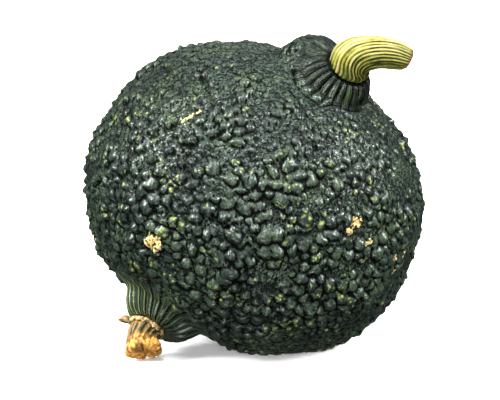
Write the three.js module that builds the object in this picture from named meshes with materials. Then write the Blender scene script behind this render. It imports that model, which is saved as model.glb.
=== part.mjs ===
// A hubbard squash lying on its side: a warted fruit, its corky stem at one end and the withered
// flower at the other.
//
// Millimetres, +Z up, standing on z = 0. Every piece is worked out in the fruit's own frame, where
// +z is the long axis towards the stem and the origin is the middle of the body. The last step lays
// them down together as the fruit rests.

import * as THREE from 'three';
import { mergeVertices } from 'three/addons/utils/BufferGeometryUtils.js';

const { clamp, degToRad, smoothstep } = THREE.MathUtils;

// ---- Driving dimensions, in millimetres and degrees ----

// How the fruit lies: the long axis leans from upright towards +X, then turns about the vertical.
const LEAN = 29.5;
const TURN = 20.9;
const REST_HEIGHT = 119.2;
const MIDDLE = new THREE.Vector3(0.7, 0.2, REST_HEIGHT);

// The body: squat, round across, a little fuller than an ellipsoid.
const BODY_RADIUS = 134.2;
const BODY_HALF_LENGTH = 117.2;
const STEM_END_FULLNESS = 2.16;
const BLOSSOM_END_FULLNESS = 2.26;

// The ribbed dome under the stem and the one that carries the flower. Each has a flat top.
const STEM_COLLAR = {
  middle: new THREE.Vector3(-16.6, -80.3, 114.9),
  axis: new THREE.Vector3(-0.151, -0.692, 0.706).normalize(),
  topRadius: 16.5,
  footRadius: 30,
  height: 20,
  footSlope: 3,
  blend: 3,
  ribs: 20,
  ribDepth: 2.4,
};
const BLOSSOM_NECK = {
  middle: new THREE.Vector3(-32.1, -19.3, -128.5),
  axis: new THREE.Vector3(-0.154, -0.380, -0.912).normalize(),
  topRadius: 17,
  footRadius: 34,
  height: 24,
  footSlope: 1.3,
  blend: 9,
  ribs: 25,
  ribDepth: 0.9,
};
const DOME_ROUNDNESS = 0.93;
const RIB_RISE = 5;
const RIB_FADE = 9;

// The long smooth shoulder that swells beside the collar, where its ribs have grown together.
const SHOULDER = {
  middle: new THREE.Vector3(-36.0, -53.6, 109.7),
  along: new THREE.Vector3(-0.70, 0.20, -0.68).normalize(),
  halfLength: 26,
  radius: 16.5,
  blend: 7,
};

// The shallow socket in the collar that the heel of the stem sits in.
const SOCKET_MIDDLE = new THREE.Vector3(2.4, -0.1, 0.4).add(STEM_COLLAR.middle);
const SOCKET_RADIUS = 17.6;
const SOCKET_FLARE = 0.25;
const SOCKET_DEPTH = 3;
const SOCKET_BLEND = 2;

// The stem: a stout heel, then an arched, tapering, ridged stalk with a cut end.
const STEM_ROUTE = [
  new THREE.Vector3(-13.8, -78.8, 113.5),
  new THREE.Vector3(-14.4, -81.6, 116.4),
  new THREE.Vector3(-16.1, -87.2, 122.2),
  new THREE.Vector3(-13.8, -92.0, 126.8),
  new THREE.Vector3(-9.3, -97.0, 131.0),
  new THREE.Vector3(-3.3, -101.3, 134.6),
  new THREE.Vector3(3.1, -104.4, 137.0),
  new THREE.Vector3(10.6, -106.6, 138.5),
  new THREE.Vector3(21.0, -108.1, 139.1),
];
const STEM_OUTLINE = [
  [0, 0], [11.8, 0], [14.9, 2.5], [16.1, 6.7], [16.0, 11.5], [15.0, 16.3], [13.4, 22], [12.2, 30.5],
  [11.4, 38.2], [10.6, 46], [9.4, 51.5], [8.3, 54.5], [6.8, 56], [0, 56.4],
];
const STEM_RIDGES = 26;
const STEM_RIDGE_DEPTH = 0.045;

// The dried calyx: a rolled collar round the flower's foot, with one pointed sepal left on it. The
// offset is how far off the middle of the neck's top they grow.
const FLOWER_OFFSET = new THREE.Vector3(-5.0, 2.4, -0.2);
const CALYX_OUTLINE = [
  [12.3, 0], [13.7, 0], [14.4, 1.1], [14.3, 2.4], [13.8, 3.5], [13.0, 3.9], [12.5, 3.2], [12.3, 1.7],
  [12.3, 0],
];
const CALYX_SIDES = 48;
const SEPAL_ANGLE = -48;
const SEPAL_HALF_WIDTH = 24;
const SEPAL_REACH = 7;
const SEPAL_DROOP = 3;

// The dried flower tube: an open cup that bends down to the ground and flares at its lip.
const FLOWER_ROUTE = [
  new THREE.Vector3(-38.0, -19.2, -134.0),
  new THREE.Vector3(-38.7, -25.8, -139.8),
  new THREE.Vector3(-35.8, -32.6, -148.0),
];
const FLOWER_OUTLINE = [
  [0, 0], [11.4, 0], [11.9, 2.5], [12.0, 8], [11.6, 13], [11.8, 17.2], [13.0, 21.2], [13.9, 23.7],
  [12.9, 24.3], [11.2, 21.2], [9.9, 16], [9.6, 10], [8.6, 5.5], [0, 4.5],
];
const FLOWER_SIDES = 40;
const FLOWER_PLEATS = 5;
const FLOWER_PLEAT_DEPTH = 0.07;

// The small gap that touching pieces keep.
const GAP = 0.3;

// How finely the fruit is drawn, and how much its rings crowd towards the two ends.
const FRUIT_MERIDIANS = 100;
const FRUIT_RINGS = 48;
const RING_CROWDING = 0.36;
const MERGE_TOLERANCE = 1e-3;

// Where along a ray from its middle the fruit's surface is looked for, and in how many halvings.
const NEAREST_SURFACE = 60;
const FARTHEST_SURFACE = 200;
const HALVINGS = 30;

// ---- The fruit's form ----

/** The smaller of two distances, with the corner between them rounded over a width. */
function smoothMinimum(a, b, width) {
  const share = clamp(0.5 + (0.5 * (b - a)) / width, 0, 1);
  return b * (1 - share) + a * share - width * share * (1 - share);
}

/** How far the body reaches from its middle in a direction. */
function bodyReach(direction) {
  const power = direction.z > 0 ? STEM_END_FULLNESS : BLOSSOM_END_FULLNESS;
  const along = Math.abs(direction.z) / BODY_HALF_LENGTH;
  const across = Math.hypot(direction.x, direction.y) / BODY_RADIUS;
  return (along ** power + across ** power) ** (-1 / power);
}

/** How far a dome has fallen below its flat top at a distance from its axis. */
function domeFall(dome, distance) {
  const inwards = clamp((distance - dome.topRadius) / (dome.footRadius - dome.topRadius), 0, 1);
  const curve = 1 - Math.sqrt(1 - DOME_ROUNDNESS * inwards * inwards);
  const wholeCurve = 1 - Math.sqrt(1 - DOME_ROUNDNESS);
  const beyond = Math.max(0, distance - dome.footRadius);
  return (dome.height * curve) / wholeCurve + dome.footSlope * beyond;
}

/** The grooves between a dome's ribs, deepest half way down its side. */
function ribGroove(dome, offset, distance) {
  const acrossX = new THREE.Vector3(1, 0, 0).projectOnPlane(dome.axis).normalize();
  const acrossY = new THREE.Vector3().crossVectors(dome.axis, acrossX);
  const angle = Math.atan2(offset.dot(acrossY), offset.dot(acrossX));
  const start = smoothstep(distance, dome.topRadius, dome.topRadius + RIB_RISE);
  const end = 1 - smoothstep(distance, dome.footRadius, dome.footRadius + RIB_FADE);
  return dome.ribDepth * start * end * (1 - Math.abs(Math.sin((dome.ribs * angle) / 2)));
}

/** How far a point stands above a dome's surface. */
function aboveDome(dome, point) {
  const offset = point.clone().sub(dome.middle);
  const height = offset.dot(dome.axis);
  const distance = offset.clone().projectOnPlane(dome.axis).length();
  const isOtherEnd = height < -BODY_HALF_LENGTH / 2;
  return isOtherEnd ? Infinity : height + domeFall(dome, distance) + ribGroove(dome, offset, distance);
}

/** How far a point stands outside the shoulder. */
function outsideShoulder(point) {
  const offset = point.clone().sub(SHOULDER.middle);
  const along = offset.dot(SHOULDER.along) / SHOULDER.halfLength;
  const across = offset.projectOnPlane(SHOULDER.along).length() / SHOULDER.radius;
  return (Math.hypot(along, across) - 1) * SHOULDER.radius;
}

/** How deep a point lies in the stem's socket, which opens a little towards its mouth. */
function insideSocket(point) {
  const offset = point.clone().sub(SOCKET_MIDDLE);
  const height = offset.dot(STEM_COLLAR.axis);
  const distance = offset.projectOnPlane(STEM_COLLAR.axis).length();
  const wall = SOCKET_RADIUS + SOCKET_FLARE * height - distance;
  return smoothMinimum(height + SOCKET_DEPTH, wall, SOCKET_BLEND);
}

/** Negative inside the fruit and positive outside it. */
function outsideFruit(point) {
  const body = point.length() - bodyReach(point.clone().normalize());
  const collar = aboveDome(STEM_COLLAR, point);
  const neck = aboveDome(BLOSSOM_NECK, point);
  let nearest = smoothMinimum(body, outsideShoulder(point), SHOULDER.blend);
  if (collar < Infinity) nearest = smoothMinimum(nearest, collar, STEM_COLLAR.blend);
  if (neck < Infinity) nearest = smoothMinimum(nearest, neck, BLOSSOM_NECK.blend);
  return -smoothMinimum(-nearest, -insideSocket(point), SOCKET_BLEND);
}

/** Where a ray from the middle of the fruit in a direction leaves its surface. */
function fruitSurface(direction) {
  let inside = NEAREST_SURFACE;
  let outside = FARTHEST_SURFACE;
  for (let halving = 0; halving < HALVINGS; halving += 1) {
    const middle = (inside + outside) / 2;
    if (outsideFruit(direction.clone().multiplyScalar(middle)) < 0) inside = middle;
    else outside = middle;
  }
  return direction.clone().multiplyScalar(inside);
}

/** The direction of a point of the unit sphere, with the poles turned to the two ends. */
function towardsEnds(point) {
  const colatitude = Math.acos(clamp(point.z, -1, 1));
  const crowded = colatitude - RING_CROWDING * Math.sin(2 * colatitude);
  const longitude = Math.atan2(point.y, point.x);
  const end = crowded < Math.PI / 2 ? STEM_COLLAR : BLOSSOM_NECK;
  return new THREE.Vector3(Math.cos(longitude), Math.sin(longitude), 0)
    .multiplyScalar(Math.sin(crowded))
    .addScaledVector(end.middle.clone().normalize(), Math.abs(Math.cos(crowded)))
    .normalize();
}

// ---- Shaping and placing ----

/** Moves every vertex of a geometry to where a function puts it. */
function reshape(geometry, place) {
  const position = geometry.getAttribute('position');
  const point = new THREE.Vector3();
  for (let i = 0; i < position.count; i += 1) {
    point.fromBufferAttribute(position, i);
    const moved = place(point);
    position.setXYZ(i, moved.x, moved.y, moved.z);
  }
  return geometry;
}

/** A closed geometry with its doubled vertices merged and its empty triangles left out. */
function closed(geometry) {
  geometry.deleteAttribute('normal');
  geometry.deleteAttribute('uv');
  const merged = mergeVertices(geometry, MERGE_TOLERANCE);
  const index = Array.from(merged.index.array);
  const kept = [];
  for (let i = 0; i < index.length; i += 3) {
    const [a, b, c] = index.slice(i, i + 3);
    if (a !== b && b !== c && c !== a) kept.push(a, b, c);
  }
  merged.setIndex(kept);
  merged.computeVertexNormals();
  return merged;
}

/** The turn and shift that lay the upright fruit down as it rests. */
const LAID_DOWN = new THREE.Matrix4()
  .makeTranslation(MIDDLE)
  .multiply(new THREE.Matrix4().makeRotationZ(degToRad(TURN)))
  .multiply(new THREE.Matrix4().makeRotationY(degToRad(LEAN)));

/** A round outline turned about +y into a solid whose faces point out. */
function turned(outline, sides) {
  const points = outline.map(([radius, height]) => new THREE.Vector2(radius, height));
  return new THREE.LatheGeometry(points, sides);
}

/** Sets a solid of revolution, standing on +y, upright on a route, so that it follows its bends. */
function followRoute(geometry, points) {
  const route = new THREE.CatmullRomCurve3(points, false, 'centripetal');
  const length = route.getLength();
  const reference = new THREE.Vector3(0, 1, 0);
  return reshape(geometry, (point) => {
    const share = clamp(point.y / length, 0, 1);
    const tangent = route.getTangentAt(share);
    const across = reference.clone().projectOnPlane(tangent).normalize();
    const beside = new THREE.Vector3().crossVectors(tangent, across);
    return route.getPointAt(share)
      .addScaledVector(tangent, point.y - share * length)
      .addScaledVector(beside, point.x)
      .addScaledVector(across, point.z);
  });
}

// ---- The pieces ----

function makeFruit() {
  const geometry = new THREE.SphereGeometry(1, FRUIT_MERIDIANS, FRUIT_RINGS).rotateX(Math.PI / 2);
  reshape(geometry, (point) => fruitSurface(towardsEnds(point)));
  geometry.applyMatrix4(LAID_DOWN);
  reshape(geometry, (point) => point.setZ(Math.max(0, point.z)));
  return closed(geometry);
}

function makeStem() {
  const geometry = turned(STEM_OUTLINE, STEM_RIDGES * 2);
  reshape(geometry, (point) => {
    const angle = Math.atan2(point.x, point.z);
    const ridge = 1 + STEM_RIDGE_DEPTH * Math.cos(STEM_RIDGES * angle);
    return point.set(point.x * ridge, point.y, point.z * ridge);
  });
  return closed(followRoute(geometry, STEM_ROUTE).applyMatrix4(LAID_DOWN));
}

/** The middle of the flower's foot, a gap above the neck's flat top. */
const FLOWER_FOOT = BLOSSOM_NECK.middle.clone().add(FLOWER_OFFSET).addScaledVector(BLOSSOM_NECK.axis, GAP);

function makeDriedCalyx() {
  const geometry = turned(CALYX_OUTLINE, CALYX_SIDES);
  const outer = Math.max(...CALYX_OUTLINE.map(([radius]) => radius));
  const inner = Math.min(...CALYX_OUTLINE.map(([radius]) => radius));
  reshape(geometry, (point) => {
    const angle = THREE.MathUtils.radToDeg(Math.atan2(point.x, point.z));
    const radius = Math.hypot(point.x, point.z);
    const fromSepal = Math.abs(angle - SEPAL_ANGLE) / SEPAL_HALF_WIDTH;
    const share = Math.max(0, 1 - fromSepal) * clamp((radius - inner) / (outer - inner), 0, 1);
    const stretch = 1 + (share * SEPAL_REACH) / radius;
    return point.set(point.x * stretch, point.y + share * SEPAL_DROOP, point.z * stretch);
  });
  const foot = [FLOWER_FOOT, FLOWER_FOOT.clone().addScaledVector(BLOSSOM_NECK.axis, BODY_RADIUS)];
  return closed(followRoute(geometry, foot).applyMatrix4(LAID_DOWN));
}

function makeDriedCorolla() {
  const geometry = turned(FLOWER_OUTLINE, FLOWER_SIDES);
  const length = Math.max(...FLOWER_OUTLINE.map(([, height]) => height));
  reshape(geometry, (point) => {
    const angle = Math.atan2(point.x, point.z);
    const pleat = 1 + FLOWER_PLEAT_DEPTH * (point.y / length) * Math.cos(FLOWER_PLEATS * angle);
    return point.set(point.x * pleat, point.y, point.z * pleat);
  });
  return closed(followRoute(geometry, [FLOWER_FOOT, ...FLOWER_ROUTE]).applyMatrix4(LAID_DOWN));
}

// ---- The assembly ----

function part(name, geometry, color, roughness) {
  const material = new THREE.MeshStandardMaterial({ color, roughness, metalness: 0 });
  const mesh = new THREE.Mesh(geometry, material);
  mesh.name = name;
  return mesh;
}

const squash = new THREE.Group();
squash.add(
  part('fruit', makeFruit(), 0x26332b, 0.45),
  part('stem', makeStem(), 0xb9b062, 0.75),
  part('dried_calyx', makeDriedCalyx(), 0xb08a52, 0.85),
  part('dried_corolla', makeDriedCorolla(), 0xc8934a, 0.85),
);

export default squash;
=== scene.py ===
import math

import bmesh
import bpy
import numpy as np
from mathutils import Matrix, Vector, kdtree, noise


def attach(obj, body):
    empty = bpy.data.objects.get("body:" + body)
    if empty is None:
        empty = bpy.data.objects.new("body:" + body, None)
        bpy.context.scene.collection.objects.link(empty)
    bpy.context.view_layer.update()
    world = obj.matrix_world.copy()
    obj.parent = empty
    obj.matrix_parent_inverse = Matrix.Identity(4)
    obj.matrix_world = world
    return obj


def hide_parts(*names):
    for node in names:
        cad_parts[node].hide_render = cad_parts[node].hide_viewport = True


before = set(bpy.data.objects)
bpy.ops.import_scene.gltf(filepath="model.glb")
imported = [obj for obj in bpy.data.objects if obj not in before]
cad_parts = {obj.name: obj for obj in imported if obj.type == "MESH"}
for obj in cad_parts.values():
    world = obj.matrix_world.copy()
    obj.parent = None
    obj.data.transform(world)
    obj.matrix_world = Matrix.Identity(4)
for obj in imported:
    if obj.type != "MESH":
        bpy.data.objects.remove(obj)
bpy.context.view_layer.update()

# ---- The fruit ----
# A ripe hubbard squash, about 268 mm across: a hard waxy rind that grew in crowded warts. The
# ribbed collar under the stem and the ribbed neck behind the flower grew as one with it.
#
# Every piece is worked out in millimetres in the fruit's own frame, where +z is the long axis
# towards the stem and the origin is the middle of the body, and is then laid down as it rests.

LEAN = math.radians(29.5)
TURN = math.radians(20.9)
LAID = np.array(Matrix.Rotation(TURN, 3, "Z") @ Matrix.Rotation(LEAN, 3, "Y"))
MIDDLE = np.array((0.7, 0.2, 119.2))


def unit(vector):
    vector = np.asarray(vector, float)
    return vector / np.linalg.norm(vector)


# The smooth form, before its ribs and warts: a body, the collar's and the neck's domes and a
# shoulder, all blended into one another, and the socket that the stem sits in. A dome is flat
# out to its top radius, falls by its height to its foot, and then slopes on.
BODY_RADIUS, BODY_HALF_LENGTH = 134.2, 117.2
STEM_END_FULLNESS, BLOSSOM_END_FULLNESS = 2.16, 2.26
COLLAR = {
    "middle": np.array((-16.6, -80.3, 114.9)), "axis": unit((-0.151, -0.692, 0.706)),
    "top": 16.5, "foot": 30, "height": 20, "slope": 3, "blend": 3,
}
NECK = {
    "middle": np.array((-32.1, -19.3, -128.5)), "axis": unit((-0.154, -0.380, -0.912)),
    "top": 17, "foot": 34, "height": 24, "slope": 1.3, "blend": 9,
}
SHOULDER = {
    "middle": np.array((-36.0, -53.6, 109.7)), "along": unit((-0.70, 0.20, -0.68)),
    "half_length": 26, "radius": 16.5, "blend": 7,
}
SOCKET = {
    "middle": COLLAR["middle"] + (2.4, -0.1, 0.4), "floor": 3, "radius": 17.6, "flare": 0.25,
    "blend": 2,
}
ROUNDNESS = 0.93  # of the collar's and the neck's domes: 0 is a cone, and 1 drops upright


def smooth_minimum(a, b, width):
    share = np.clip(0.5 + 0.5 * (b - a) / width, 0, 1)
    return b * (1 - share) + a * share - width * share * (1 - share)


def round_axis(middle, axis, points):
    """How high points stand along an axis, how far from it, and at what angle round it."""
    offset = points - middle
    height = offset @ axis
    across = unit(np.array((1, 0, 0)) - axis * axis[0])
    beside = np.cross(axis, across)
    x, y = offset @ across, offset @ beside
    return height, np.hypot(x, y), np.arctan2(y, x)


def above_dome(dome, points):
    height, distance, _ = round_axis(dome["middle"], dome["axis"], points)
    share = np.clip((distance - dome["top"]) / (dome["foot"] - dome["top"]), 0, 1)
    fall = dome["height"] * (1 - np.sqrt(1 - ROUNDNESS * share * share))
    fall /= 1 - math.sqrt(1 - ROUNDNESS)
    beyond = dome["slope"] * np.maximum(0, distance - dome["foot"])
    return np.where(height < -BODY_HALF_LENGTH / 2, 1000, height + fall + beyond)


def outside_shoulder(points):
    offset = points - SHOULDER["middle"]
    along = offset @ SHOULDER["along"]
    across = np.linalg.norm(offset - along[:, None] * SHOULDER["along"], axis=1)
    reach = np.hypot(along / SHOULDER["half_length"], across / SHOULDER["radius"])
    return (reach - 1) * SHOULDER["radius"]


def outside_fruit(points):
    """Negative inside the fruit's smooth form and positive outside it."""
    size = np.linalg.norm(points, axis=1)
    way = points / size[:, None]
    power = np.where(way[:, 2] > 0, STEM_END_FULLNESS, BLOSSOM_END_FULLNESS)
    flat = np.hypot(way[:, 0], way[:, 1]) / BODY_RADIUS
    tall = np.abs(way[:, 2]) / BODY_HALF_LENGTH
    body = size - (tall ** power + flat ** power) ** (-1 / power)
    form = smooth_minimum(body, outside_shoulder(points), SHOULDER["blend"])
    form = smooth_minimum(form, above_dome(COLLAR, points), COLLAR["blend"])
    form = smooth_minimum(form, above_dome(NECK, points), NECK["blend"])
    height, distance, _ = round_axis(SOCKET["middle"], COLLAR["axis"], points)
    wall = SOCKET["radius"] + SOCKET["flare"] * height - distance
    socket = smooth_minimum(height + SOCKET["floor"], wall, SOCKET["blend"])
    return -smooth_minimum(-form, -socket, SOCKET["blend"])


def on_fruit(ways):
    """Where rays from the middle of the fruit leave its smooth form."""
    nearest, farthest, halvings = 60.0, 200.0, 22
    inside, outside = np.full(len(ways), nearest), np.full(len(ways), farthest)
    for _ in range(halvings):
        middle = (inside + outside) / 2
        within = outside_fruit(ways * middle[:, None]) < 0
        inside, outside = np.where(within, middle, inside), np.where(within, outside, middle)
    return ways * inside[:, None]


def crowded(ways, end, share, width):
    """Directions drawn closer together towards one end, where the fine ribs are."""
    end = unit(end)
    cosine = np.clip(ways @ end, -1, 1)
    angle = np.arccos(cosine)
    drawn = angle * (1 - share * np.exp(-((angle / width) ** 2)))
    sideways = ways - cosine[:, None] * end
    sideways /= np.maximum(np.linalg.norm(sideways, axis=1), 1e-9)[:, None]
    return np.cos(drawn)[:, None] * end + np.sin(drawn)[:, None] * sideways


def positions(shape):
    flat = np.empty(len(shape.vertices) * 3)
    shape.vertices.foreach_get("co", flat)
    return flat.reshape(-1, 3)


def made_mesh(name, shell):
    shape = bpy.data.meshes.new(name)
    shell.to_mesh(shape)
    shell.free()
    return shape


# The shell is a cube, cut fine and blown up to the fruit's form. Its vertices are drawn closer
# together on the full side, where the warts are largest, and at the two ribbed ends.
CUTS = 127
shell = bmesh.new()
bmesh.ops.create_cube(shell, size=2)
bmesh.ops.subdivide_edges(shell, edges=shell.edges[:], cuts=CUTS, use_grid_fill=True)
fruit_mesh = made_mesh("rind_of_fruit", shell)
ways = np.tan(positions(fruit_mesh) * math.pi / 4)
ways /= np.linalg.norm(ways, axis=1)[:, None]
ways = crowded(ways, (-0.1, -0.97, -0.1), share=0.26, width=math.radians(65))
ways = crowded(ways, COLLAR["middle"], share=0.45, width=math.radians(22))
ways = crowded(ways, NECK["middle"], share=0.45, width=math.radians(22))
smooth = on_fruit(ways)

slopes = []
for axis in np.eye(3):
    slopes.append(outside_fruit(smooth + axis * 0.5) - outside_fruit(smooth - axis * 0.5))
normals = np.stack(slopes, axis=1)
normals /= np.linalg.norm(normals, axis=1)[:, None]


def fade(value, start, end):
    """0 up to the start, 1 from the end on, and smooth between them."""
    share = np.clip((value - start) / (end - start), 0, 1)
    return share * share * (3 - 2 * share)


def lump(value, middle, width):
    """A bell curve, 1 at its middle."""
    return np.exp(-(((value - middle) / width) ** 2))


def rough(points, size):
    """A smooth random value from about -1 to 1 whose swells are about that many millimetres."""
    return np.array([noise.fractal(Vector(p) / size, 1, 2, 2) for p in points])


# The collar's 20 ribs: rounded, narrower on the low side, each ending in a knob over a dark
# crease. On the shoulder they have fused, and on the far side they run on down the body.
COLLAR_RIBS = 20
GROOVE_DEPTHS = 4.6, 7.0
KNOB_HEIGHT, CREASE_DEPTH, STRAND_DEPTH, FOLD_DEPTH = 0.6, 3.2, 3.2, 0.8
KNOB_ANGLES = -180, -150, -135, -108, -97, -60, -30, 180  # degrees round the collar's axis
KNOB_ENDS = 32, 36, 40, 40, 31, 29, 28, 30  # and how far out from it the knobs end there
chance = np.random.default_rng(7)
_, collar_distance, collar_angle = round_axis(COLLAR["middle"], COLLAR["axis"], smooth)
low_side = collar_angle + math.radians(95)
collar_turns = COLLAR_RIBS / math.tau * (low_side + 0.26 * np.sin(low_side))
collar_rib = np.floor(collar_turns).astype(int) % COLLAR_RIBS
collar_groove = np.round(collar_turns).astype(int) % COLLAR_RIBS
side = 1 - 2 * np.abs(collar_turns - np.round(collar_turns))
groove = 1 - np.sqrt(1 - side ** 3)
fused = 1 - fade(outside_shoulder(smooth), 0, 7)
run_on = fade(np.cos(collar_angle - math.radians(15)), 0.45, 0.85)
at_collar = np.where(smooth[:, 2] > 0, 1, 0)
knob_end = np.interp(np.degrees(collar_angle), KNOB_ANGLES, KNOB_ENDS)
knob_end = knob_end + chance.uniform(-1.8, 1.8, COLLAR_RIBS)[collar_rib]
groove_depth = chance.uniform(*GROOVE_DEPTHS, COLLAR_RIBS)[collar_groove]
reach = fade(collar_distance, 14, 20) * (1 - fade(collar_distance, knob_end, knob_end + 4))
relief = -groove_depth * (1 - 0.75 * fused) * groove * reach * at_collar
knobs = lump(collar_distance, knob_end - 4.5, 5) * (1 - groove)
relief += KNOB_HEIGHT * knobs * (1 - fused) * (1 - run_on) * at_collar
crease = lump(collar_distance, knob_end + 1.8, 2.2)
relief -= CREASE_DEPTH * crease * (1 - fused) * (1 - run_on) * at_collar
strands = fade(collar_distance, 28, 34) * (1 - fade(collar_distance, 52, 96)) * run_on
relief -= STRAND_DEPTH * groove * strands * at_collar
wander = rough(smooth, 14)
fold = fade(np.cos(collar_angle + math.radians(78)), 0.8, 0.95) * at_collar
relief -= FOLD_DEPTH * lump(collar_distance, knob_end + 12 + 3 * wander, 1.8) * fold

# The neck's 25 ribs: low, even, and running out over the body as they widen.
NECK_RIBS = 25
NECK_GROOVE_DEPTH = 3.0
_, neck_distance, neck_angle = round_axis(NECK["middle"], NECK["axis"], smooth)
neck_turns = NECK_RIBS / math.tau * neck_angle + 0.3 * np.sin(2 * neck_angle + 1)
at_neck = np.where(smooth[:, 2] < 0, 1, 0)
side = 1 - 2 * np.abs(neck_turns - np.round(neck_turns))
groove = 1 - np.sqrt(1 - side ** 2)
neck_reach = fade(neck_distance, 12, 17) * (1 - fade(neck_distance, 38, 66))
relief -= NECK_GROOVE_DEPTH * groove * neck_reach * at_neck

# The warts: lumps of two sizes, each crowded at its own spacing, with no two alike. The
# largest stand on the full side, and there are none on the ribs.
tree = kdtree.KDTree(len(smooth))
for index, point in enumerate(smooth):
    tree.insert(point, index)
tree.balance()
collar_clear = np.where(at_collar == 1, collar_distance, 1000)
neck_clear = np.where(at_neck == 1, neck_distance, 1000)
warty = fade(collar_clear, knob_end, knob_end + 10) * fade(neck_clear, 32, 56)

# How big lumps grow at each spot, from 0 to 1.
size = np.linalg.norm(smooth, axis=1)
full_side = smooth @ unit((-0.15, -0.97, -0.1)) / size
bulk = 0.42 + 0.55 * rough(smooth, 60) + 0.5 * fade(full_side, 0.55, 0.95)
bulk = np.clip(bulk, 0.12, 1) * (0.3 + 0.7 * fade(collar_clear, 60, 160))


def scattered(spacing):
    """Vertices of the fruit no nearer to each other than the spacing at each of them."""
    taken = np.zeros(len(smooth), bool)
    chosen = []
    for index in chance.permutation(len(smooth)):
        if taken[index]:
            continue
        chosen.append(index)
        for _, near, _ in tree.find_range(smooth[index], spacing[index]):
            taken[near] = True
    return chosen


# Lumps that press on one another as they grow are pushed out of round, and each one sags.
ragged = 1 + 0.3 * rough(smooth, 6)
warp = 1.5 * np.column_stack([rough(smooth + shift, 9) for shift in (11, 23, 37)])
downhill = LAID.T @ (0, 0, -1)
STEEPNESS = 0.55  # the power of a dome's outline: 1 is a parabola, and 0.5 half a ball


def raised(spacing, radius, height, share_kept):
    """One size of lump: its steep, sagging domes in shallow moats, and the painted shade at their
    feet.
    """
    domes, moats = np.zeros(len(smooth)), np.zeros(len(smooth))
    feet = np.zeros(len(smooth))
    for index in scattered(spacing):
        if chance.random() > share_kept[index]:
            continue
        reach = radius[index] * chance.uniform(0.7, 1.25)
        rise = height[index] * chance.uniform(0.45, 1.4)
        length = chance.uniform(1, 1.3)
        way = np.cross(normals[index], unit(chance.normal(size=3)))
        hits = tree.find_range(smooth[index], reach * length * 1.3)
        near = np.array([hit[1] for hit in hits])
        offset = smooth[near] + warp[near] - smooth[index] - warp[index]
        along = offset @ way
        squared = (offset ** 2).sum(axis=1) - along ** 2 * (1 - length ** -2)
        share = np.sqrt(squared) / (reach * ragged[near])
        sag = 1 + chance.uniform(0.1, 0.7) * (offset @ downhill) / reach
        dome = rise * np.clip(1 - share ** 2, 0, 1) ** STEEPNESS * sag
        domes[near] = np.maximum(domes[near], dome)
        foot = lump(share, 1.1, 0.18)
        moats[near] = np.maximum(moats[near], 0.3 * rise * foot)
        below = np.clip(0.35 + 1.1 * (offset @ downhill) / reach, 0, 1)
        feet[near] = np.maximum(feet[near], foot * below * min(rise / 2, 1))
    return domes - moats * (domes < 0.25), feet * (domes < 0.5 * domes.max())


# The small lumps fill in between the big ones, and stand a little proud where they meet them.
crowd = np.clip(0.16 + 0.7 * bulk + 0.8 * rough(smooth, 26), 0.1, 0.9)
big, big_feet = raised(
    spacing=5.4 + 2.4 * bulk, radius=2.7 + 2.2 * bulk, height=1.4 + 2.3 * bulk,
    share_kept=crowd)
small, small_feet = raised(
    spacing=3.8 + 0.6 * bulk, radius=2.1 + 0.9 * bulk, height=0.8 + 0.8 * bulk,
    share_kept=np.clip(crowd, 0.25, 0.6))
warts = np.maximum(big, small) + 0.35 * np.minimum(np.maximum(big, 0), small)
feet = np.maximum(big_feet, small_feet) * warty

# Between the lumps the skin is folded, and the whole body is uneven.
folded = 1.1 - 3.2 * np.abs(rough(smooth + 40, 9))
warts = warts + 0.45 * np.clip(folded, -1, 1) * (1 - np.clip(big / 1.6, 0, 1))
relief += warts * warty
relief += (1.8 * rough(smooth, 55) + 1.0 * rough(smooth, 22)) * fade(collar_clear, 26, 60)

# Under the fruit, where it lay, the skin has sagged in flat wrinkles. Long creases cross its
# left side and the slope over it, where it swelled against something.
WRINKLE_LENGTH, WRINKLE_SPACING, WRINKLE_HEIGHT = 18, 3.6, 1.3
resting = smooth @ LAID.T
wrinkle = rough(resting / (WRINKLE_LENGTH, WRINKLE_LENGTH, WRINKLE_SPACING), 1)
under = fade(-resting[:, 2], 62, 96)
relief += WRINKLE_HEIGHT * wrinkle * under * fade(neck_clear, 36, 66)
CREASES = [
    [(-124, -5, -51), (-116, -62, -28), (-104, -85, -1), (-88, -101, 22)],
    [(-96, -80, -50), (-70, -108, -34), (-44, -124, -36)],
    [(-60, -90, 84), (-34, -116, 62), (-22, -128, 34)],
    [(-106, -40, 62), (-100, -74, 46), (-86, -96, 34)],
    [(-111, -74, 17), (-116, -67, 7), (-121, -58, 0)],
]


def away_from(line):
    """How far each vertex is from a line drawn over the fruit."""
    path = np.concatenate([np.linspace(a, b, 60) for a, b in zip(line, line[1:])])
    spots = on_fruit(path / np.linalg.norm(path, axis=1)[:, None])
    trail = kdtree.KDTree(len(spots))
    for index, spot in enumerate(spots):
        trail.insert(spot, index)
    trail.balance()
    return np.array([trail.find(point)[2] for point in smooth])


# Each crease is a groove 1.5 mm deep between two low lips, and it wanders a little.
for crease_line in CREASES:
    away = away_from(crease_line) + 2.5 * wander
    relief -= 1.5 * lump(away, 0, 1.8) - 0.5 * lump(away, 4.5, 3)

# Under the stem's heel and under the calyx the form stays smooth, so that they seat in it.
relief *= fade(collar_clear, 13, 16) * fade(neck_clear, 9, 12)


def laid_down(points):
    """Points of the fruit's frame as they rest, in metres and never under the ground."""
    resting = points @ LAID.T + MIDDLE
    resting[:, 2] = np.maximum(resting[:, 2], 0)
    return resting / 1000


grown = smooth + normals * relief[:, None]
fruit_mesh.vertices.foreach_set("co", laid_down(grown).ravel())
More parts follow.
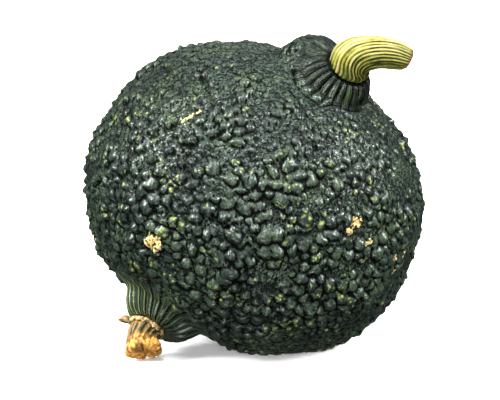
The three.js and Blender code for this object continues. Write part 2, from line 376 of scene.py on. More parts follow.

# How sunken each spot is among its neighbours, plus the shade at the warts' feet: painted shade.
edges = np.empty(len(fruit_mesh.edges) * 2, np.int32)
fruit_mesh.edges.foreach_get("vertices", edges)
edges = edges.reshape(-1, 2)
links = np.bincount(edges.ravel(), minlength=len(smooth))
around = relief.copy()
for _ in range(4):
    total = np.bincount(edges[:, 0], around[edges[:, 1]], len(smooth))
    total += np.bincount(edges[:, 1], around[edges[:, 0]], len(smooth))
    around = 0.5 * around + 0.5 * total / links
sunken = around - relief + 0.9 * feet


def keep(shape, name, values):
    shape.attributes.new(name, "FLOAT", "POINT").data.foreach_set("value", values)


# Scabs stand in four groups on the full side, and a long scratch above them has healed pale.
SCAB_SPOTS = [
    ((-86, -75, -70), 9.5), ((26, -131, 11), 6.8), ((24, -132, 3), 4), ((46, -126, 5), 3.8),
    ((43, -127, 1), 3.2), ((81, -107, 4), 4), ((90, -99, 10), 4.8), ((87, -102, -6), 3.4),
]
scab = np.zeros(len(smooth))
for middle, radius in SCAB_SPOTS:
    spot = on_fruit(unit(middle)[None])[0]
    distance = np.linalg.norm(smooth - spot, axis=1)
    scab = np.maximum(scab, 1 - fade(distance, radius * 0.5, radius * 1.5))
SCRATCH = [(-110, -75, 18), (-106, -77, 25), (-103, -80, 31)]
scab = np.maximum(scab, 1.3 * (1 - fade(away_from(SCRATCH), 0.4, 2.6)))
keep(fruit_mesh, "sunken", sunken)
keep(fruit_mesh, "wart", warts * warty)
keep(fruit_mesh, "scab", scab)
keep(fruit_mesh, "warty", warty)
keep(fruit_mesh, "dome", np.clip(np.maximum(big, small) / 1.2, 0, 1) * warty)

corners = np.empty(len(fruit_mesh.loops), np.int32)
fruit_mesh.loops.foreach_get("vertex_index", corners)


def keep_ribs(shape, name, turns, whole, distance):
    """A UV map of how many ribs round and how many centimetres out each corner is."""
    around = turns[corners].reshape(-1, 4)
    low = around < around.max(axis=1, keepdims=True) - whole / 2
    around = np.where(low, around + whole, around)
    pairs = np.stack((around.ravel(), distance[corners] / 10), axis=1)
    shape.uv_layers.new(name=name).uv.foreach_set("vector", pairs.ravel())


keep_ribs(fruit_mesh, "collar_ribs", collar_turns, COLLAR_RIBS, collar_clear)
keep_ribs(fruit_mesh, "neck_ribs", neck_turns, NECK_RIBS, neck_clear)
fruit_mesh.shade_smooth()


def paint(code):
    """An sRGB hex colour as the linear colour that shaders use."""
    parts = [int(code[i:i + 2], 16) / 255 for i in (1, 3, 5)]
    linear = [p / 12.92 if p <= 0.04045 else ((p + 0.055) / 1.055) ** 2.4 for p in parts]
    return (*linear, 1)


def node(material, kind, inputs=(), stops=None, **settings):
    """Adds a node with its settings, its inputs' values or links, and its ramp's stops."""
    made = material.node_tree.nodes.new(kind)
    for name, value in settings.items():
        setattr(made, name, value)
    for socket, value in dict(inputs).items():
        if isinstance(value, bpy.types.NodeSocket):
            material.node_tree.links.new(value, made.inputs[socket])
        else:
            made.inputs[socket].default_value = value
    if stops:
        while len(made.color_ramp.elements) < len(stops):
            made.color_ramp.elements.new(0.5)
        for element, (place, colour) in zip(made.color_ramp.elements, stops):
            element.position = place
            element.color = colour
    return made


def scale_of(millimetres):
    """The scale of a pattern whose swells or cells are that many millimetres across."""
    return round(1000 / millimetres)


def new_material(name):
    material = bpy.data.materials.new(name)
    material.use_nodes = True
    material.node_tree.nodes.clear()
    return material


# The rind: hard and dark green under a thin wax. To the eye it is satin, with a grey sheen on
# each crest. Its yellow-green flecks are breathing pores, and the tan scabs are healed wounds.
rind = new_material("waxy_squash_rind")
place = node(rind, "ShaderNodeTexCoord").outputs["Object"]
sunken_at, wart_at, scab_at, warty_at, dome_at = (
    node(rind, "ShaderNodeAttribute", attribute_name=name).outputs["Fac"]
    for name in ("sunken", "wart", "scab", "warty", "dome"))
# Near black, the colour of the shade painted into the crevices, under the warts and in the
# cracks.
PAINTED_SHADE_BLACK = paint("#020302")

# Deep green in patches, mottled again grain by grain, and less so on the domes, where the skin
# is stretched. Real grains are about half a millimetre, too fine to show, so they are coarser.
# The mottle's ramp holds factors that darken or lighten the green, not colours.
patches = node(rind, "ShaderNodeTexNoise", {
    "Vector": place, "Scale": scale_of(26), "Detail": 4}).outputs["Fac"]
green = node(rind, "ShaderNodeValToRGB", {"Fac": patches}, stops=[
    (0.35, paint("#171e1a")), (0.5, paint("#202a24")),
    (0.68, paint("#2f3a2a"))]).outputs["Color"]
grains = node(rind, "ShaderNodeTexNoise", {
    "Vector": place, "Scale": scale_of(1.316), "Detail": 3, "Roughness": 0.7}).outputs["Fac"]
mottle = node(rind, "ShaderNodeValToRGB", {"Fac": grains}, stops=[
    (0.43, (0.12, 0.12, 0.12, 1)), (0.57, (2.9, 3.0, 2.9, 1))]).outputs["Color"]
grainy = node(rind, "ShaderNodeMapRange", {
    "Value": dome_at, "To Min": 1.0, "To Max": 0.45}).outputs[0]
green = node(rind, "ShaderNodeMix", {0: grainy, 6: green, 7: mottle},
             data_type="RGBA", blend_type="MULTIPLY").outputs[2]

# The skin is beaded at 4 mm and again at 2 mm, both coarser than the real beads so that they
# show. The cells are pushed out of line by up to 9 mm, so that no row of them shows.
drift = node(rind, "ShaderNodeTexNoise", {
    "Vector": place, "Scale": scale_of(11.1), "Detail": 2}).outputs["Color"]
bent = node(rind, "ShaderNodeVectorMath", {0: drift, 1: (0.009, 0.009, 0.009), 2: place},
            operation="MULTIPLY_ADD").outputs[0]
beads = node(rind, "ShaderNodeTexVoronoi", {
    "Vector": bent, "Scale": scale_of(4)}).outputs["Distance"]
grit = node(rind, "ShaderNodeTexVoronoi", {
    "Vector": bent, "Scale": scale_of(1.923)}).outputs["Distance"]

# Pores: yellow-green flecks 1 to 3 mm across on the tops of the warts, in loose groups.
pores = node(rind, "ShaderNodeTexVoronoi", {
    "Vector": bent, "Scale": scale_of(3.7)}).outputs["Distance"]
group = node(rind, "ShaderNodeTexNoise", {
    "Vector": place, "Scale": scale_of(18.2), "Detail": 2}).outputs["Fac"]
fleck_size = node(rind, "ShaderNodeMapRange", {
    "Value": group, "From Min": 0.37, "From Max": 0.66, "To Max": 0.52}).outputs[0]
fleck = node(rind, "ShaderNodeMath", {0: fleck_size, 1: pores}, operation="SUBTRACT").outputs[0]
fleck = node(rind, "ShaderNodeMapRange", {
    "Value": fleck, "From Max": 0.26, "To Max": 0.85}).outputs[0]
on_top = node(rind, "ShaderNodeMapRange", {
    "Value": wart_at, "From Min": 0.3, "From Max": 1.2}).outputs[0]
fleck = node(rind, "ShaderNodeMath", {0: fleck, 1: on_top}, operation="MULTIPLY").outputs[0]
green = node(rind, "ShaderNodeMix", {0: fleck, 6: green, 7: paint("#869349")},
             data_type="RGBA").outputs[2]

# The ribs: a near-black line of painted shade in each groove, with thin pale lines beside it on
# the neck, and streaks along the ribs of the collar. In both UV maps a rib is 1 wide and its
# length is in centimetres. The collar's line is again a ramp of factors: painted shade in each
# groove and a painted highlight along each crest.
neck_map = node(rind, "ShaderNodeUVMap", uv_map="neck_ribs").outputs["UV"]
neck_at = node(rind, "ShaderNodeSeparateXYZ", {"Vector": neck_map}).outputs
neck_part = node(rind, "ShaderNodeMath", {0: neck_at["X"]}, operation="FRACT").outputs[0]
# Near black in each groove: painted shade.
neck_band = node(rind, "ShaderNodeValToRGB", {"Fac": neck_part}, stops=[
    (0.0, paint("#050706")), (0.12, paint("#0d120d")), (0.18, paint("#727f47")),
    (0.25, paint("#323e28")), (0.34, paint("#1d2622")), (0.56, paint("#1a231f")),
    (0.62, paint("#4e5b35")), (0.68, paint("#18201b")), (0.85, paint("#161e1a")),
    (1.0, paint("#050706"))]).outputs["Color"]
neck_near = node(rind, "ShaderNodeMapRange", {
    "Value": neck_at["Y"], "From Min": 5.0, "From Max": 3.2}).outputs[0]
green = node(rind, "ShaderNodeMix", {0: neck_near, 6: green, 7: neck_band},
             data_type="RGBA").outputs[2]

collar_map = node(rind, "ShaderNodeUVMap", uv_map="collar_ribs").outputs["UV"]
collar_at = node(rind, "ShaderNodeSeparateXYZ", {"Vector": collar_map}).outputs
drawn_out = node(rind, "ShaderNodeMapping", {"Vector": collar_map, "Scale": (3.0, 0.25, 1)})
lines = node(rind, "ShaderNodeTexNoise", {
    "Vector": drawn_out.outputs[0], "Scale": 2.5, "Detail": 4}).outputs["Fac"]
streak = node(rind, "ShaderNodeValToRGB", {"Fac": lines}, stops=[
    (0.4, paint("#090d0a")), (0.57, paint("#131a15")), (0.7, paint("#4a5830"))]).outputs["Color"]
collar_part = node(rind, "ShaderNodeMath", {0: collar_at["X"]}, operation="FRACT").outputs[0]
# Painted shade in the grooves, and a painted highlight along the crests.
collar_line = node(rind, "ShaderNodeValToRGB", {"Fac": collar_part}, stops=[
    (part, (shade, shade, shade, 1))
    for part, shade in ((0, 0.1), (0.1, 0.9), (0.5, 1.2), (0.9, 0.9), (1, 0.1))]).outputs["Color"]
streak = node(rind, "ShaderNodeMix", {0: 1.0, 6: streak, 7: collar_line},
              data_type="RGBA", blend_type="MULTIPLY").outputs[2]
collar_near = node(rind, "ShaderNodeMapRange", {
    "Value": collar_at["Y"], "From Min": 4.2, "From Max": 3.2}).outputs[0]
green = node(rind, "ShaderNodeMix", {0: collar_near, 6: green, 7: streak},
             data_type="RGBA").outputs[2]

# Crevices, the downhill feet of the warts and the cracks between beads are painted near black:
# this is painted shade. A dome's skin is stretched, so fewer cracks show on it.
crevice = node(rind, "ShaderNodeMapRange", {
    "Value": sunken_at, "From Min": -0.15, "From Max": 0.6, "To Max": 0.97}).outputs[0]
green = node(rind, "ShaderNodeMix", {0: crevice, 6: green, 7: PAINTED_SHADE_BLACK}, data_type="RGBA").outputs[2]
beaded = node(rind, "ShaderNodeMath", {0: dome_at, 1: -0.65, 2: warty_at},
              operation="MULTIPLY_ADD", use_clamp=True).outputs[0]
crack = node(rind, "ShaderNodeMapRange", {
    "Value": beads, "From Min": 0.52, "From Max": 0.74, "To Max": 0.75}).outputs[0]
fine_crack = node(rind, "ShaderNodeMapRange", {
    "Value": grit, "From Min": 0.43, "From Max": 0.67, "To Max": 0.92}).outputs[0]
crack = node(rind, "ShaderNodeMath", {0: crack, 1: fine_crack}, operation="MAXIMUM").outputs[0]
crack = node(rind, "ShaderNodeMath", {0: crack, 1: beaded}, operation="MULTIPLY").outputs[0]
green = node(rind, "ShaderNodeMix", {0: crack, 6: green, 7: PAINTED_SHADE_BLACK}, data_type="RGBA").outputs[2]
# Where shade is painted, from the crevices and the cracks together.
painted_shade_mask = node(rind, "ShaderNodeMath", {0: crevice, 1: crack}, operation="MAXIMUM").outputs[0]

# The wax shines on the crests and is dimmed where shade is painted into the crevices. It is a
# little thinner on the collar, and it varies from grain to grain where the skin is not stretched.
polish = node(rind, "ShaderNodeMapRange", {
    "Value": painted_shade_mask, "To Min": 0.42, "To Max": 0.02}).outputs[0]
collar_polish = node(rind, "ShaderNodeMapRange", {
    "Value": collar_at["Y"], "From Min": 3.2, "From Max": 5.2, "To Min": 0.7}).outputs[0]
grain_polish = node(rind, "ShaderNodeMapRange", {
    "Value": grains, "From Min": 0.43, "From Max": 0.57,
    "To Min": 0.6, "To Max": 1.15}).outputs[0]
grain_polish = node(rind, "ShaderNodeMix", {0: grainy, 2: 1.05, 3: grain_polish}).outputs[0]
for share in (collar_polish, grain_polish):
    polish = node(rind, "ShaderNodeMath", {0: polish, 1: share}, operation="MULTIPLY").outputs[0]

# Scabs: dry tan cork in small broken islands.
torn = node(rind, "ShaderNodeTexNoise", {
    "Vector": place, "Scale": scale_of(2.5), "Detail": 3}).outputs["Fac"]
torn = node(rind, "ShaderNodeMath", {0: scab_at, 1: 0.56, 2: torn},
            operation="MULTIPLY_ADD").outputs[0]
scabbed = node(rind, "ShaderNodeMapRange", {
    "Value": torn, "From Min": 0.99, "From Max": 1.04}).outputs[0]
healed = node(rind, "ShaderNodeValToRGB", {"Fac": grains}, stops=[
    (0.36, paint("#94733a")), (0.5, paint("#bfa566")),
    (0.62, paint("#d6c694"))]).outputs["Color"]
skin = node(rind, "ShaderNodeMix", {0: scabbed, 6: green, 7: healed}, data_type="RGBA").outputs[2]

# The beads and the grit stand out from the skin, the wax over them is slightly uneven, and the
# collar's ribs are lined along their length.
bead_height = node(rind, "ShaderNodeMath", {0: beads, 1: beads}, operation="MULTIPLY").outputs[0]
bead_height = node(rind, "ShaderNodeMath", {0: beaded, 1: bead_height},
                   operation="MULTIPLY").outputs[0]
swells = node(rind, "ShaderNodeTexNoise", {
    "Vector": place, "Scale": scale_of(2.083), "Detail": 3, "Roughness": 0.6}).outputs["Fac"]
lined = node(rind, "ShaderNodeMath", {0: lines, 1: collar_near}, operation="MULTIPLY").outputs[0]
bump = node(rind, "ShaderNodeBump", {"Height": bead_height, "Distance": 0.0007}, invert=True)
bump = node(rind, "ShaderNodeBump", {
    "Height": grit, "Distance": 0.0001, "Normal": bump.outputs[0]}, invert=True)
bump = node(rind, "ShaderNodeBump", {
    "Height": swells, "Distance": 0.0002, "Strength": grainy, "Normal": bump.outputs[0]})
bump = node(rind, "ShaderNodeBump", {
    "Height": lined, "Distance": 0.0012, "Normal": bump.outputs[0]})
wax = node(rind, "ShaderNodeMapRange", {
    "Value": swells, "To Min": 0.19, "To Max": 0.34}).outputs[0]
for share, roughness in ((collar_near, 0.2), (painted_shade_mask, 0.6), (scabbed, 0.85)):
    wax = node(rind, "ShaderNodeMix", {0: share, 2: wax, 3: roughness}).outputs[0]
surface = node(rind, "ShaderNodeBsdfPrincipled", {
    "Base Color": skin, "Roughness": wax, "IOR": 1.52, "Specular IOR Level": polish,
    "Specular Tint": paint("#f3fff8"), "Normal": bump.outputs[0]})
node(rind, "ShaderNodeOutputMaterial", {"Surface": surface.outputs[0]})


def placed(name, shape, material):
    """The finished piece: its place is in its mesh, and it rides on the squash's one body."""
    piece = bpy.data.objects.new(name, shape)
    bpy.context.scene.collection.objects.link(piece)
    shape.materials.append(material)
    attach(piece, "root")
    return piece


fruit = placed("warted_rind", fruit_mesh, rind)
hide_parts("fruit")

# ---- The stem ----
# The stalk that the squash hung by: hard dry cork with 26 ridges, grown from a bulging heel in
# the collar's socket, arched over, and cut off by hand.

STEM_ROUTE = [
    (-13.8, -78.8, 113.5), (-14.4, -81.6, 116.4), (-16.1, -87.2, 122.2), (-13.8, -92.0, 126.8),
    (-9.3, -97.0, 131.0), (-3.3, -101.3, 134.6), (3.1, -104.4, 137.0), (10.6, -106.6, 138.5),
    (21.0, -108.1, 139.1),
]
STEM_OUTLINE = np.array([
    (0, 0), (11.8, 0), (14.9, 2.5), (16.1, 6.7), (16.0, 11.5), (15.0, 16.3), (13.4, 22),
    (12.2, 30.5), (11.4, 38.2), (10.6, 46), (9.4, 51.5), (8.3, 54.5), (6.8, 56), (0, 56.4),
])
STEM_LENGTH = 56
STEM_RIDGES, RIDGE_HEIGHT = 26, 1.3


def rounded(points, shares):
    """Places along a smooth curve through points, at shares of its length."""
    points = np.asarray(points, float)
    gaps = np.linalg.norm(np.diff(points, axis=0), axis=1)
    knots = np.concatenate(([0], np.cumsum(gaps ** 0.5)))
    slopes = np.gradient(points, knots, axis=0)
    fine = np.linspace(0, knots[-1], 2000)
    part = np.clip(np.searchsorted(knots, fine, side="right") - 1, 0, len(points) - 2)
    span = (knots[part + 1] - knots[part])[:, None]
    t = (fine - knots[part])[:, None] / span
    curve = ((1 + 2 * t) * (1 - t) ** 2 * points[part] + t * (1 - t) ** 2 * span * slopes[part]
             + t * t * (3 - 2 * t) * points[part + 1]
             + t * t * (t - 1) * span * slopes[part + 1])
    lengths = np.concatenate(([0], np.cumsum(np.linalg.norm(np.diff(curve, axis=0), axis=1))))
    wanted = np.asarray(shares) * lengths[-1]
    return np.stack([np.interp(wanted, lengths, axis) for axis in curve.T], axis=1), lengths[-1]


def along_route(route, x, y, z):
    """Sets a form that stands along +y on a route, so that it follows the route's bends."""
    steps = np.linspace(0, 1, 400)
    line, length = rounded(route, steps)
    tangents = np.gradient(line, axis=0)
    eased = 40  # steps each way that a bend is eased over
    padded = np.pad(tangents, ((eased, eased), (0, 0)), mode="edge")
    window = np.ones(2 * eased + 1)
    tangents = np.stack([np.convolve(axis, window, "valid") for axis in padded.T], axis=1)
    tangents /= np.linalg.norm(tangents, axis=1)[:, None]
    share = np.clip(y / length, 0, 1)
    spot = np.stack([np.interp(share, steps, axis) for axis in line.T], axis=1)
    tangent = np.stack([np.interp(share, steps, axis) for axis in tangents.T], axis=1)
    tangent /= np.linalg.norm(tangent, axis=1)[:, None]
    across = np.array((0, 1, 0)) - tangent * tangent[:, 1:2]
    across /= np.linalg.norm(across, axis=1)[:, None]
    beside = np.cross(tangent, across)
    return (spot + tangent * (y - share * length)[:, None] + beside * x[:, None]
            + across * z[:, None])


def wrapped_grid(name, sides, rings):
    """A sheet to be rolled up: its mesh, and each vertex's angle round and share along it."""
    sheet = bmesh.new()
    bmesh.ops.create_grid(sheet, x_segments=sides, y_segments=rings, size=0.5)
    shape = made_mesh(name, sheet)
    flat = positions(shape)
    return shape, (flat[:, 0] + 0.5) * math.tau, flat[:, 1] + 0.5


def closed_up(shape, points):
    """Puts the sheet's vertices in place and joins its long edges and its poles."""
    shape.vertices.foreach_set("co", laid_down(points).ravel())
    sheet = bmesh.new()
    sheet.from_mesh(shape)
    bmesh.ops.remove_doubles(sheet, verts=sheet.verts[:], dist=1e-7)
    bmesh.ops.dissolve_degenerate(sheet, edges=sheet.edges[:], dist=1e-8)
    bmesh.ops.recalc_face_normals(sheet, faces=sheet.faces[:])
    sheet.to_mesh(shape)
    sheet.free()
    shape.shade_smooth()


def rough_round(angle, along, swells, octaves):
    """A smooth random value on a tube, with about that many swells in a third of a turn.

    How far each vertex is along the tube is given in swells too.
    """
    return np.array([
        noise.fractal(Vector((math.cos(a) * swells, math.sin(a) * swells, s)), 1, 2, octaves)
        for a, s in zip(angle, along)])


stem_mesh, stem_angle, stem_share = wrapped_grid("cork_of_stem", sides=260, rings=150)
outline, _ = rounded(np.column_stack((STEM_OUTLINE, np.zeros(len(STEM_OUTLINE)))), stem_share)
radius, height = outline[:, 0], outline[:, 1]
ridge_turns = STEM_RIDGES / math.tau * stem_angle
ridge_turns = ridge_turns + 0.3 * np.sin(2 * stem_angle)
ridge_turns = ridge_turns + 0.08 * np.sin(height / 6 + stem_angle)
ridge_side = np.abs(2 * (ridge_turns - np.floor(ridge_turns)) - 1)
nearest_ridge = np.round(ridge_turns).astype(int) % STEM_RIDGES
ridge_height = chance.uniform(0.4, 1.4, STEM_RIDGES)[nearest_ridge]
ridge = np.sqrt(np.clip(1 - (1 - ridge_side) ** 2, 0, 1)) * ridge_height
ridged = fade(radius, 3, 10)
swell = (ridge - 0.6) * RIDGE_HEIGHT * ridged
fibre = rough_round(stem_angle, height / 12, swells=9, octaves=3)
swell += 0.35 * fibre * ridged
end_cap = fade(height, 54.5, 56.2)
height = height - end_cap * (1.6 * (1 - fade(radius, 2, 7)) + 0.5 * fibre)
x, z = (radius + swell) * np.sin(stem_angle), (radius + swell) * np.cos(stem_angle)
keep(stem_mesh, "ridge", ridge_side ** 1.2 * (0.55 + 0.45 * ridge_height))
keep(stem_mesh, "length", height / STEM_LENGTH)
keep(stem_mesh, "fibre", fibre)
stem_points = along_route(STEM_ROUTE, x, height, z)
stem_line = along_route(STEM_ROUTE, 0 * x, height, 0 * z)
# How far below the stem's middle line each spot is, for the painted shade underneath.
keep(stem_mesh, "under", np.clip((stem_points - stem_line) @ downhill / 12, -1, 1))
closed_up(stem_mesh, stem_points)

# Dry cork, with no shine at all: pale on the faded ridges, olive in the grooves, with greener
# patches, and brown where the knife went through. The underside is darkened as painted shade.
cork = new_material("dry_stem_cork")
place = node(cork, "ShaderNodeTexCoord").outputs["Object"]
ridge_at, length_at, fibre_at, underside_shade_at = (
    node(cork, "ShaderNodeAttribute", attribute_name=name).outputs["Fac"]
    for name in ("ridge", "length", "fibre", "under"))
speck = node(cork, "ShaderNodeTexNoise", {
    "Vector": place, "Scale": scale_of(2.38), "Detail": 4}).outputs["Fac"]
# Ridges, fibres and specks make the cork paler, and the underside is darkened as painted shade.
bleach_and_underside_shade = ridge_at
for cause, weight in ((fibre_at, 0.7), (underside_shade_at, -0.4), (speck, 0.7)):
    bleach_and_underside_shade = node(cork, "ShaderNodeMath", {0: cause, 1: weight, 2: bleach_and_underside_shade},
                    operation="MULTIPLY_ADD").outputs[0]
bleach_and_underside_shade = node(cork, "ShaderNodeMapRange", {
    "Value": bleach_and_underside_shade, "From Min": 0.2, "From Max": 1.8}).outputs[0]
bark = node(cork, "ShaderNodeValToRGB", {"Fac": bleach_and_underside_shade}, stops=[
    (0.14, paint("#222603")), (0.32, paint("#606212")), (0.5, paint("#847c2b")),
    (0.72, paint("#9b9166"))]).outputs["Color"]
patch = node(cork, "ShaderNodeTexNoise", {
    "Vector": place, "Scale": scale_of(16.7), "Detail": 3}).outputs["Fac"]
patch = node(cork, "ShaderNodeMapRange", {
    "Value": patch, "From Min": 0.5, "From Max": 0.7, "To Max": 0.5}).outputs[0]
bark = node(cork, "ShaderNodeMix", {0: patch, 6: bark, 7: paint("#58662b")},
            data_type="RGBA").outputs[2]
cut = node(cork, "ShaderNodeMapRange", {
    "Value": length_at, "From Min": 0.925, "From Max": 0.965}).outputs[0]
bark = node(cork, "ShaderNodeMix", {0: cut, 6: bark, 7: paint("#5c4829")},
            data_type="RGBA").outputs[2]
bump = node(cork, "ShaderNodeBump", {"Height": speck, "Distance": 0.0006, "Strength": 0.7})
surface = node(cork, "ShaderNodeBsdfPrincipled", {
    "Base Color": bark, "Roughness": 0.75, "IOR": 1.5, "Specular IOR Level": 0.25,
    "Normal": bump.outputs[0]})
node(cork, "ShaderNodeOutputMaterial", {"Surface": surface.outputs[0]})
stem = placed("corky_stem", stem_mesh, cork)
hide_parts("stem")

# ---- The dried calyx ----
# What is left of the green cup that held the flower: a rolled, torn ring of dried skin, as
# tough as leather, with one pointed sepal still standing out from it. It grew on the neck's end.

FLOWER_FOOT = NECK["middle"] + (-5.0, 2.4, -0.2) + 0.3 * NECK["axis"]
CALYX_HOLE, CALYX_WALL = 12.3, 2.1
CALYX_OUTLINE = [
    (CALYX_HOLE, 0), (13.7, 0), (14.4, 1.1), (14.3, 2.4), (13.8, 3.5), (13.0, 3.9), (12.5, 3.2),
    (CALYX_HOLE, 1.7), (CALYX_HOLE, 0),
]
SEPAL_ANGLE, SEPAL_HALF_WIDTH = math.radians(-48), math.radians(40)
SEPAL_LENGTH = 10
calyx_mesh, calyx_angle, calyx_share = wrapped_grid("skin_of_calyx", sides=180, rings=36)
outline, _ = rounded([(*p, 0) for p in CALYX_OUTLINE], calyx_share)
radius, height = outline[:, 0], outline[:, 1]
crumple = rough_round(calyx_angle, calyx_share * 2, swells=4, octaves=3)
turned_angle = (calyx_angle + math.pi) % math.tau - math.pi
from_sepal = np.abs(turned_angle - SEPAL_ANGLE) / SEPAL_HALF_WIDTH
outer = np.clip((radius - CALYX_HOLE) / CALYX_WALL, 0, 1)
sepal = np.maximum(0, 1 - from_sepal) ** 1.1 * outer
radius = radius + (SEPAL_LENGTH * sepal + 1.1 * crumple) * outer
height = height * (1 - 0.6 * np.minimum(2 * sepal, 1))
curl = 1.6 * sepal * np.sin(9 * from_sepal)
height = height + 2.5 * sepal + 1.5 * crumple * fade(height, 0, 3) + curl
keep(calyx_mesh, "fold", 0.6 * sepal - crumple)
x, z = radius * np.sin(calyx_angle), radius * np.cos(calyx_angle)
calyx_route = [FLOWER_FOOT, FLOWER_FOOT + NECK["axis"] * 60]
closed_up(calyx_mesh, along_route(calyx_route, x, height, z))

# Leaf skin dried to leather: matt tan, and brown along its folds.
husk = new_material("dried_calyx_skin")
place = node(husk, "ShaderNodeTexCoord").outputs["Object"]
speck = node(husk, "ShaderNodeTexNoise", {
    "Vector": place, "Scale": scale_of(3.33), "Detail": 4}).outputs["Fac"]
fold_at = node(husk, "ShaderNodeAttribute", attribute_name="fold").outputs["Fac"]
faded = node(husk, "ShaderNodeMath", {0: fold_at, 1: -0.22, 2: speck},
             operation="MULTIPLY_ADD").outputs[0]
tan = node(husk, "ShaderNodeValToRGB", {"Fac": faded}, stops=[
    (0.3, paint("#39341a")), (0.45, paint("#83653a")),
    (0.6, paint("#b39a66"))]).outputs["Color"]
bump = node(husk, "ShaderNodeBump", {"Height": speck, "Distance": 0.0008, "Strength": 0.8})
surface = node(husk, "ShaderNodeBsdfPrincipled", {
    "Base Color": tan, "Roughness": 0.75, "IOR": 1.5, "Normal": bump.outputs[0]})
node(husk, "ShaderNodeOutputMaterial", {"Surface": surface.outputs[0]})
calyx = placed("rolled_calyx", calyx_mesh, husk)
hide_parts("dried_calyx")

# ---- The dried corolla ----
# The withered flower: papery petals that grew as one tube out of the calyx, now shrunk in
# pleats and crumpled at the flared lip, which all but touches the ground.

FLOWER_ROUTE = [
    FLOWER_FOOT, (-38.0, -19.2, -134.0), (-38.7, -25.8, -139.8), (-35.8, -32.6, -148.0),
]
FLOWER_OUTLINE = [
    (0, 0), (11.4, 0), (11.9, 2.5), (12.0, 8), (11.6, 13), (11.8, 17.2), (13.0, 21.2),
    (13.9, 23.4), (12.6, 25.2), (10.2, 25.7), (7.6, 25.2), (4.5, 24.6), (0, 24.4),
]
FLOWER_LENGTH = 24
corolla_mesh, petal_angle, petal_share = wrapped_grid("skin_of_petals", sides=220, rings=130)
outline, _ = rounded([(*p, 0) for p in FLOWER_OUTLINE], petal_share)
radius, height = outline[:, 0], outline[:, 1]
crumple = rough_round(petal_angle, height / 7, swells=2.4, octaves=4)
pleats = np.cos(5 * petal_angle + 0.8 * crumple)
folds = np.array([noise.noise(Vector((math.cos(a) * 3.4, math.sin(a) * 3.4, h / 9)))
                  for a, h in zip(petal_angle, height)])
torn = rough_round(petal_angle, np.full(len(height), 5), swells=4, octaves=3)
loose = fade(height, 1, 12)
radius = radius + (0.5 * pleats + 0.8 * crumple + 3.0 * (0.3 - np.abs(folds))) * loose
height = height + 2.6 * torn * fade(height, 14, 24)
x, z = radius * np.sin(petal_angle), radius * np.cos(petal_angle)
veins = rough_round(petal_angle, height / 26, swells=7, octaves=2)
mouth = fade(height, 15, 22)
keep(corolla_mesh, "length", height / FLOWER_LENGTH)
keep(corolla_mesh, "veins", veins)
# Where the mouth's folds turn inwards, for the painted shade there.
keep(corolla_mesh, "hollow", 0.7 * np.clip(-2.6 * folds - 0.25, 0, 1) * mouth)
closed_up(corolla_mesh, along_route(FLOWER_ROUTE, x, height, z))

# Petals dried to paper: matt ochre, with dark green veins still showing on the tube. Where the
# mouth's folds turn inwards they are painted dark brown: painted shade.
petal = new_material("dried_petal_paper")
place = node(petal, "ShaderNodeTexCoord").outputs["Object"]
length_at, veins_at, mouth_shade_at = (
    node(petal, "ShaderNodeAttribute", attribute_name=name).outputs["Fac"]
    for name in ("length", "veins", "hollow"))
speck = node(petal, "ShaderNodeTexNoise", {
    "Vector": place, "Scale": scale_of(3.85), "Detail": 5}).outputs["Fac"]
gold = node(petal, "ShaderNodeValToRGB", {"Fac": speck}, stops=[
    (0.36, paint("#5a380c")), (0.45, paint("#b3772a")),
    (0.57, paint("#d9a24c"))]).outputs["Color"]
striped = node(petal, "ShaderNodeMath", {0: speck, 1: 0.5, 2: veins_at},
               operation="MULTIPLY_ADD").outputs[0]
striped = node(petal, "ShaderNodeValToRGB", {"Fac": striped}, stops=[
    (0.1, paint("#1d260e")), (0.22, paint("#3d4a20")), (0.3, paint("#75501f")),
    (0.46, paint("#84693c"))]).outputs["Color"]
near_foot = node(petal, "ShaderNodeMapRange", {
    "Value": length_at, "From Min": 0.78, "From Max": 0.6}).outputs[0]
gold = node(petal, "ShaderNodeMix", {0: near_foot, 6: gold, 7: striped},
            data_type="RGBA").outputs[2]
# Painted shade, dark brown, in the mouth's inward folds.
gold = node(petal, "ShaderNodeMix", {0: mouth_shade_at, 6: gold, 7: paint("#3a2c14")},
            data_type="RGBA").outputs[2]
bump = node(petal, "ShaderNodeBump", {"Height": speck, "Distance": 0.003})
surface = node(petal, "ShaderNodeBsdfPrincipled", {
    "Base Color": gold, "Roughness": 0.7, "IOR": 1.45, "Normal": bump.outputs[0]})
node(petal, "ShaderNodeOutputMaterial", {"Surface": surface.outputs[0]})
corolla = placed("withered_corolla", corolla_mesh, petal)
corolla.visible_glossy = False  # or the neck's wax mirrors it as stray orange sparks
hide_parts("dried_corolla")

# ---- The studio ----
# A plain pale floor, wide enough to reach the horizon, in a grey surround. Three strong lamps
# stand high, one over the front and one on each side, so that every wart has its own shade, and
# weak ones fill in from the front, above, below and behind.

FLOOR_REACH = 40  # metres
floor_sheet = bmesh.new()
bmesh.ops.create_grid(floor_sheet, x_segments=1, y_segments=1, size=FLOOR_REACH)
floor = bpy.data.objects.new("pale_floor", made_mesh("pale_floor", floor_sheet))
bpy.context.scene.collection.objects.link(floor)

# Background paper: matt and almost white, and kept pale by a faint glow. It only catches the
# shadow, and neither lights nor shades the squash: a lamp under it stands for the light that it
# would throw back.
paper = new_material("matt_white_paper")
surface = node(paper, "ShaderNodeBsdfPrincipled", {
    "Base Color": paint("#ededed"), "Roughness": 1.0, "Specular IOR Level": 0.0,
    "Emission Color": paint("#ffffff"), "Emission Strength": 0.26})
node(paper, "ShaderNodeOutputMaterial", {"Surface": surface.outputs[0]})
floor.data.materials.append(paper)
floor.visible_diffuse = False
floor.visible_glossy = False
floor.visible_shadow = False

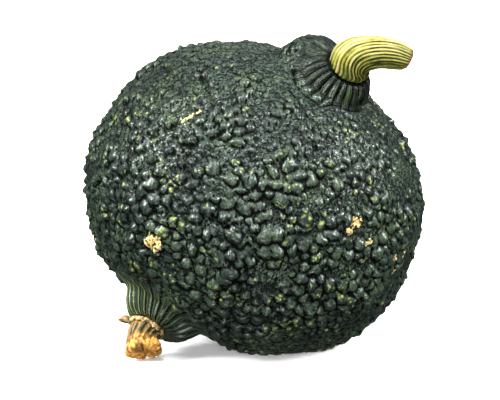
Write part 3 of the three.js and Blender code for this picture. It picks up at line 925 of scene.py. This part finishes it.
# The surround is darker low down, so that the undersides of the warts stay dark.
surround = bpy.data.worlds.new("grey_surround")
surround.use_nodes = True
bpy.context.scene.world = surround
sky_way = node(surround, "ShaderNodeTexCoord").outputs["Generated"]
sky_height = node(surround, "ShaderNodeSeparateXYZ", {"Vector": sky_way}).outputs["Z"]
sky_shade = node(surround, "ShaderNodeMapRange", {
    "Value": sky_height, "From Min": -0.3, "From Max": 0.5,
    "To Min": 0.1, "To Max": 0.22}).outputs[0]
background = surround.node_tree.nodes["Background"]
surround.node_tree.links.new(sky_shade, background.inputs["Color"])


def lamp(name, way, strength, spread):
    """A distant lamp that shines one way, as wide in the sky as its spread in degrees."""
    light = bpy.data.lights.new(name, "SUN")
    light.energy, light.angle = strength, math.radians(spread)
    hung = bpy.data.objects.new(name, light)
    hung.rotation_euler = Vector(way).to_track_quat("-Z", "Y").to_euler()
    bpy.context.scene.collection.objects.link(hung)


lamp("key", (0.05, 0.55, -0.83), strength=4.5, spread=20)
lamp("overhead", (0.0, 0.1, -1.0), strength=1.0, spread=60)
lamp("left", (0.82, 0.24, -0.54), strength=7.4, spread=22)
lamp("right", (-0.82, 0.24, -0.54), strength=7.4, spread=22)
lamp("front", (0.05, 1.0, -0.35), strength=1.6, spread=20)
lamp("bounce", (0.1, 0.7, 0.6), strength=2.2, spread=30)
lamp("behind", (-0.1, -0.6, -0.8), strength=0.5, spread=60)

# The camera looks a little down at the squash.
DOWN = math.radians(8)
CAMERA_AWAY = 1.333
AIM_LEFT, AIM_LOW = 0.0041, 0.0024
forward = np.array((0, math.cos(DOWN), -math.sin(DOWN)))
upward = np.array((0, math.sin(DOWN), math.cos(DOWN)))
target = MIDDLE / 1000 - (AIM_LEFT, 0, 0) - AIM_LOW * upward
camera = bpy.data.objects.new("camera", bpy.data.cameras.new("camera"))
camera.data.lens, camera.data.sensor_width = 120, 36
camera.data.clip_end = 200
camera.location = target - CAMERA_AWAY * forward
camera.rotation_euler = (math.pi / 2 - DOWN, 0, 0)
bpy.context.scene.collection.objects.link(camera)
bpy.context.scene.camera = camera
bpy.context.scene.view_settings.view_transform = "Standard"
